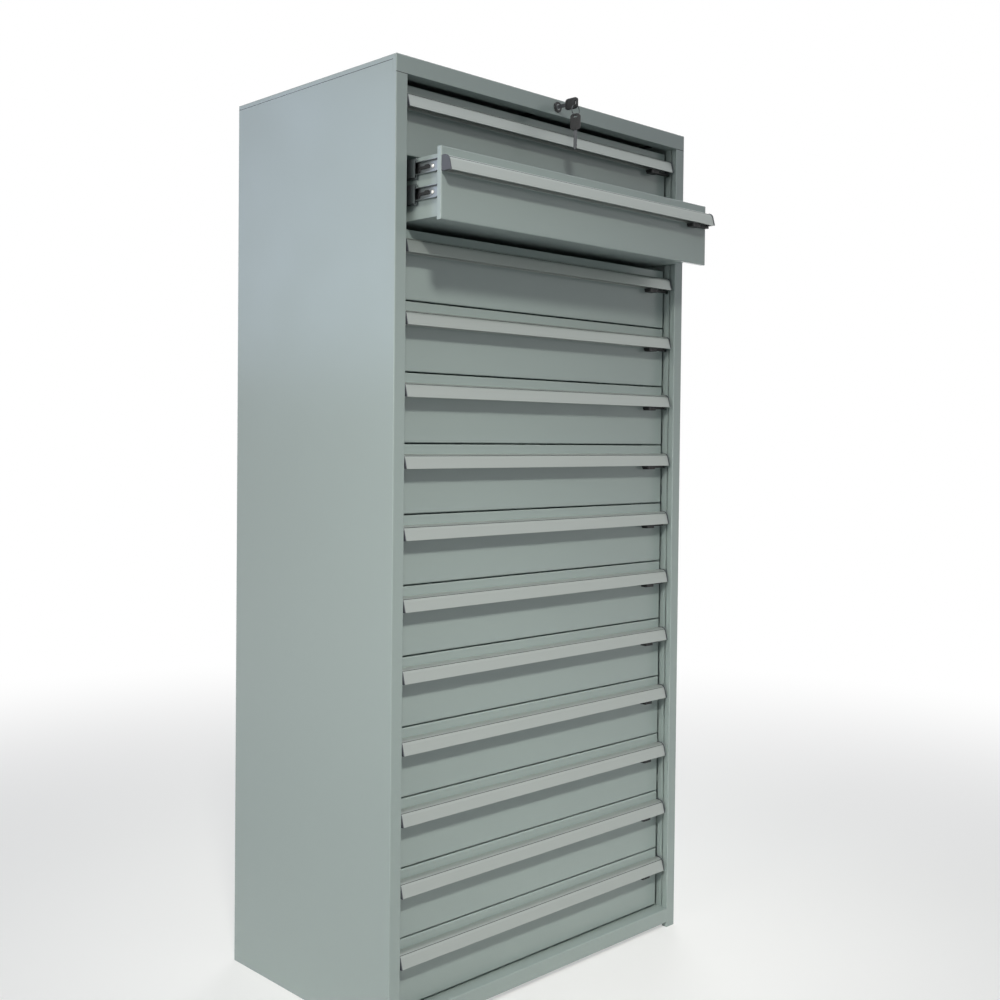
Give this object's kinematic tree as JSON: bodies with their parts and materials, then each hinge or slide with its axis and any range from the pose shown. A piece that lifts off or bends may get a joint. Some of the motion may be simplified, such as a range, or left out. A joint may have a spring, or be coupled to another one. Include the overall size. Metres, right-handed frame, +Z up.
{
  "type": "tool cabinet",
  "caption": "Tall powder-coated steel tool cabinet with a stack of full-width drawers on paired telescopic slides, grip rails, drawer latches and a central key lock.",
  "frame": {"origin": "on the floor, at the centre of the closed cabinet footprint, on the underside of the floor channel", "axes": "+Z up, +X to the right seen from the front, drawers open towards -Y"},
  "size_m": [0.935, 0.6995, 2],
  "materials": {
    "powder_coated_steel": "semi-gloss",
    "aluminium_profile": "satin",
    "zinc_plated_steel": "bright zinc",
    "black_plastic": "moulded"
  },
  "bodies": {
    "cabinet": {"side_panels": "powder_coated_steel", "back_panel": "powder_coated_steel", "top_cover": "powder_coated_steel", "base_frame": "powder_coated_steel", "slide_outer_rails": "zinc_plated_steel"},
    "drawer_01": {"drawer_01_tray": "powder_coated_steel", "drawer_01_handle": "aluminium_profile"},
    "latch_01": {"drawer_01_latch": "black_plastic"},
    "runner_01": {"drawer_01_slides_mid": "zinc_plated_steel"},
    "drawer_02": {"drawer_02_tray": "powder_coated_steel", "drawer_02_handle": "aluminium_profile"},
    "latch_02": {"drawer_02_latch": "black_plastic"},
    "runner_02": {"drawer_02_slides_mid": "zinc_plated_steel"},
    "drawer_03": {"drawer_03_tray": "powder_coated_steel", "drawer_03_handle": "aluminium_profile"},
    "latch_03": {"drawer_03_latch": "black_plastic"},
    "runner_03": {"drawer_03_slides_mid": "zinc_plated_steel"},
    "drawer_04": {"drawer_04_tray": "powder_coated_steel", "drawer_04_handle": "aluminium_profile"},
    "latch_04": {"drawer_04_latch": "black_plastic"},
    "runner_04": {"drawer_04_slides_mid": "zinc_plated_steel"},
    "drawer_05": {"drawer_05_tray": "powder_coated_steel", "drawer_05_handle": "aluminium_profile"},
    "latch_05": {"drawer_05_latch": "black_plastic"},
    "runner_05": {"drawer_05_slides_mid": "zinc_plated_steel"},
    "drawer_06": {"drawer_06_tray": "powder_coated_steel", "drawer_06_handle": "aluminium_profile"},
    "latch_06": {"drawer_06_latch": "black_plastic"},
    "runner_06": {"drawer_06_slides_mid": "zinc_plated_steel"},
    "drawer_07": {"drawer_07_tray": "powder_coated_steel", "drawer_07_handle": "aluminium_profile"},
    "latch_07": {"drawer_07_latch": "black_plastic"},
    "runner_07": {"drawer_07_slides_mid": "zinc_plated_steel"},
    "drawer_08": {"drawer_08_tray": "powder_coated_steel", "drawer_08_handle": "aluminium_profile"},
    "latch_08": {"drawer_08_latch": "black_plastic"},
    "runner_08": {"drawer_08_slides_mid": "zinc_plated_steel"},
    "drawer_09": {"drawer_09_tray": "powder_coated_steel", "drawer_09_handle": "aluminium_profile"},
    "latch_09": {"drawer_09_latch": "black_plastic"},
    "runner_09": {"drawer_09_slides_mid": "zinc_plated_steel"},
    "drawer_10": {"drawer_10_tray": "powder_coated_steel", "drawer_10_handle": "aluminium_profile"},
    "latch_10": {"drawer_10_latch": "black_plastic"},
    "runner_10": {"drawer_10_slides_mid": "zinc_plated_steel"},
    "drawer_11": {"drawer_11_tray": "powder_coated_steel", "drawer_11_handle": "aluminium_profile"},
    "latch_11": {"drawer_11_latch": "black_plastic"},
    "runner_11": {"drawer_11_slides_mid": "zinc_plated_steel"},
    "drawer_12": {"drawer_12_tray": "powder_coated_steel", "drawer_12_handle": "aluminium_profile"},
    "latch_12": {"drawer_12_latch": "black_plastic"},
    "runner_12": {"drawer_12_slides_mid": "zinc_plated_steel"},
    "drawer_13": {"drawer_13_tray": "powder_coated_steel", "drawer_13_handle": "aluminium_profile"},
    "latch_13": {"drawer_13_latch": "black_plastic"},
    "runner_13": {"drawer_13_slides_mid": "zinc_plated_steel"},
    "lock": {"lock_plug": "zinc_plated_steel"},
    "key": {"key": "black_plastic"},
    "locking_bar": {"lock_bar": "zinc_plated_steel"}
  },
  "joints": [
    {"name": "drawer_01_slide", "type": "slide", "parent": "cabinet", "child": "drawer_01", "axis": [0, -1, 0], "range_m": [0, 0.49]},
    {"name": "runner_01_slide", "type": "slide", "parent": "cabinet", "child": "runner_01", "axis": [0, -1, 0], "range_m": [0, 0.245]},
    {"name": "latch_01_slide", "type": "slide", "parent": "drawer_01", "child": "latch_01", "axis": [1, 0, 0], "range_m": [0, 0.012]},
    {"name": "drawer_02_slide", "type": "slide", "parent": "cabinet", "child": "drawer_02", "axis": [0, -1, 0], "range_m": [-0.128, 0.362]},
    {"name": "runner_02_slide", "type": "slide", "parent": "cabinet", "child": "runner_02", "axis": [0, -1, 0], "range_m": [-0.064, 0.181]},
    {"name": "latch_02_slide", "type": "slide", "parent": "drawer_02", "child": "latch_02", "axis": [1, 0, 0], "range_m": [0, 0.012]},
    {"name": "drawer_03_slide", "type": "slide", "parent": "cabinet", "child": "drawer_03", "axis": [0, -1, 0], "range_m": [0, 0.49]},
    {"name": "runner_03_slide", "type": "slide", "parent": "cabinet", "child": "runner_03", "axis": [0, -1, 0], "range_m": [0, 0.245]},
    {"name": "latch_03_slide", "type": "slide", "parent": "drawer_03", "child": "latch_03", "axis": [1, 0, 0], "range_m": [0, 0.012]},
    {"name": "drawer_04_slide", "type": "slide", "parent": "cabinet", "child": "drawer_04", "axis": [0, -1, 0], "range_m": [0, 0.49]},
    {"name": "runner_04_slide", "type": "slide", "parent": "cabinet", "child": "runner_04", "axis": [0, -1, 0], "range_m": [0, 0.245]},
    {"name": "latch_04_slide", "type": "slide", "parent": "drawer_04", "child": "latch_04", "axis": [1, 0, 0], "range_m": [0, 0.012]},
    {"name": "drawer_05_slide", "type": "slide", "parent": "cabinet", "child": "drawer_05", "axis": [0, -1, 0], "range_m": [0, 0.49]},
    {"name": "runner_05_slide", "type": "slide", "parent": "cabinet", "child": "runner_05", "axis": [0, -1, 0], "range_m": [0, 0.245]},
    {"name": "latch_05_slide", "type": "slide", "parent": "drawer_05", "child": "latch_05", "axis": [1, 0, 0], "range_m": [0, 0.012]},
    {"name": "drawer_06_slide", "type": "slide", "parent": "cabinet", "child": "drawer_06", "axis": [0, -1, 0], "range_m": [0, 0.49]},
    {"name": "runner_06_slide", "type": "slide", "parent": "cabinet", "child": "runner_06", "axis": [0, -1, 0], "range_m": [0, 0.245]},
    {"name": "latch_06_slide", "type": "slide", "parent": "drawer_06", "child": "latch_06", "axis": [1, 0, 0], "range_m": [0, 0.012]},
    {"name": "drawer_07_slide", "type": "slide", "parent": "cabinet", "child": "drawer_07", "axis": [0, -1, 0], "range_m": [0, 0.49]},
    {"name": "runner_07_slide", "type": "slide", "parent": "cabinet", "child": "runner_07", "axis": [0, -1, 0], "range_m": [0, 0.245]},
    {"name": "latch_07_slide", "type": "slide", "parent": "drawer_07", "child": "latch_07", "axis": [1, 0, 0], "range_m": [0, 0.012]},
    {"name": "drawer_08_slide", "type": "slide", "parent": "cabinet", "child": "drawer_08", "axis": [0, -1, 0], "range_m": [0, 0.49]},
    {"name": "runner_08_slide", "type": "slide", "parent": "cabinet", "child": "runner_08", "axis": [0, -1, 0], "range_m": [0, 0.245]},
    {"name": "latch_08_slide", "type": "slide", "parent": "drawer_08", "child": "latch_08", "axis": [1, 0, 0], "range_m": [0, 0.012]},
    {"name": "drawer_09_slide", "type": "slide", "parent": "cabinet", "child": "drawer_09", "axis": [0, -1, 0], "range_m": [0, 0.49]},
    {"name": "runner_09_slide", "type": "slide", "parent": "cabinet", "child": "runner_09", "axis": [0, -1, 0], "range_m": [0, 0.245]},
    {"name": "latch_09_slide", "type": "slide", "parent": "drawer_09", "child": "latch_09", "axis": [1, 0, 0], "range_m": [0, 0.012]},
    {"name": "drawer_10_slide", "type": "slide", "parent": "cabinet", "child": "drawer_10", "axis": [0, -1, 0], "range_m": [0, 0.49]},
    {"name": "runner_10_slide", "type": "slide", "parent": "cabinet", "child": "runner_10", "axis": [0, -1, 0], "range_m": [0, 0.245]},
    {"name": "latch_10_slide", "type": "slide", "parent": "drawer_10", "child": "latch_10", "axis": [1, 0, 0], "range_m": [0, 0.012]},
    {"name": "drawer_11_slide", "type": "slide", "parent": "cabinet", "child": "drawer_11", "axis": [0, -1, 0], "range_m": [0, 0.49]},
    {"name": "runner_11_slide", "type": "slide", "parent": "cabinet", "child": "runner_11", "axis": [0, -1, 0], "range_m": [0, 0.245]},
    {"name": "latch_11_slide", "type": "slide", "parent": "drawer_11", "child": "latch_11", "axis": [1, 0, 0], "range_m": [0, 0.012]},
    {"name": "drawer_12_slide", "type": "slide", "parent": "cabinet", "child": "drawer_12", "axis": [0, -1, 0], "range_m": [0, 0.49]},
    {"name": "runner_12_slide", "type": "slide", "parent": "cabinet", "child": "runner_12", "axis": [0, -1, 0], "range_m": [0, 0.245]},
    {"name": "latch_12_slide", "type": "slide", "parent": "drawer_12", "child": "latch_12", "axis": [1, 0, 0], "range_m": [0, 0.012]},
    {"name": "drawer_13_slide", "type": "slide", "parent": "cabinet", "child": "drawer_13", "axis": [0, -1, 0], "range_m": [0, 0.49]},
    {"name": "runner_13_slide", "type": "slide", "parent": "cabinet", "child": "runner_13", "axis": [0, -1, 0], "range_m": [0, 0.245]},
    {"name": "latch_13_slide", "type": "slide", "parent": "drawer_13", "child": "latch_13", "axis": [1, 0, 0], "range_m": [0, 0.012]},
    {"name": "bar_lift", "type": "slide", "parent": "cabinet", "child": "locking_bar", "axis": [0, 0, 1], "range_m": [0, 0.0127]},
    {"name": "lock_turn", "type": "hinge", "parent": "cabinet", "child": "lock", "pos_m": [0, -0.2875, 1.982], "axis": [0, 1, 0], "range_deg": [0, 90]},
    {"name": "key_draw", "type": "slide", "parent": "lock", "child": "key", "axis": [0, -1, 0], "range_m": [0, 0.03]}
  ],
  "couplings": [
    {"joint": "runner_01_slide", "follows": "drawer_01_slide", "ratio": 0.5},
    {"joint": "runner_02_slide", "follows": "drawer_02_slide", "ratio": 0.5},
    {"joint": "runner_03_slide", "follows": "drawer_03_slide", "ratio": 0.5},
    {"joint": "runner_04_slide", "follows": "drawer_04_slide", "ratio": 0.5},
    {"joint": "runner_05_slide", "follows": "drawer_05_slide", "ratio": 0.5},
    {"joint": "runner_06_slide", "follows": "drawer_06_slide", "ratio": 0.5},
    {"joint": "runner_07_slide", "follows": "drawer_07_slide", "ratio": 0.5},
    {"joint": "runner_08_slide", "follows": "drawer_08_slide", "ratio": 0.5},
    {"joint": "runner_09_slide", "follows": "drawer_09_slide", "ratio": 0.5},
    {"joint": "runner_10_slide", "follows": "drawer_10_slide", "ratio": 0.5},
    {"joint": "runner_11_slide", "follows": "drawer_11_slide", "ratio": 0.5},
    {"joint": "runner_12_slide", "follows": "drawer_12_slide", "ratio": 0.5},
    {"joint": "runner_13_slide", "follows": "drawer_13_slide", "ratio": 0.5},
    {"joint": "lock_turn", "follows": "bar_lift", "rad_per_m": 123.41}
  ]
}
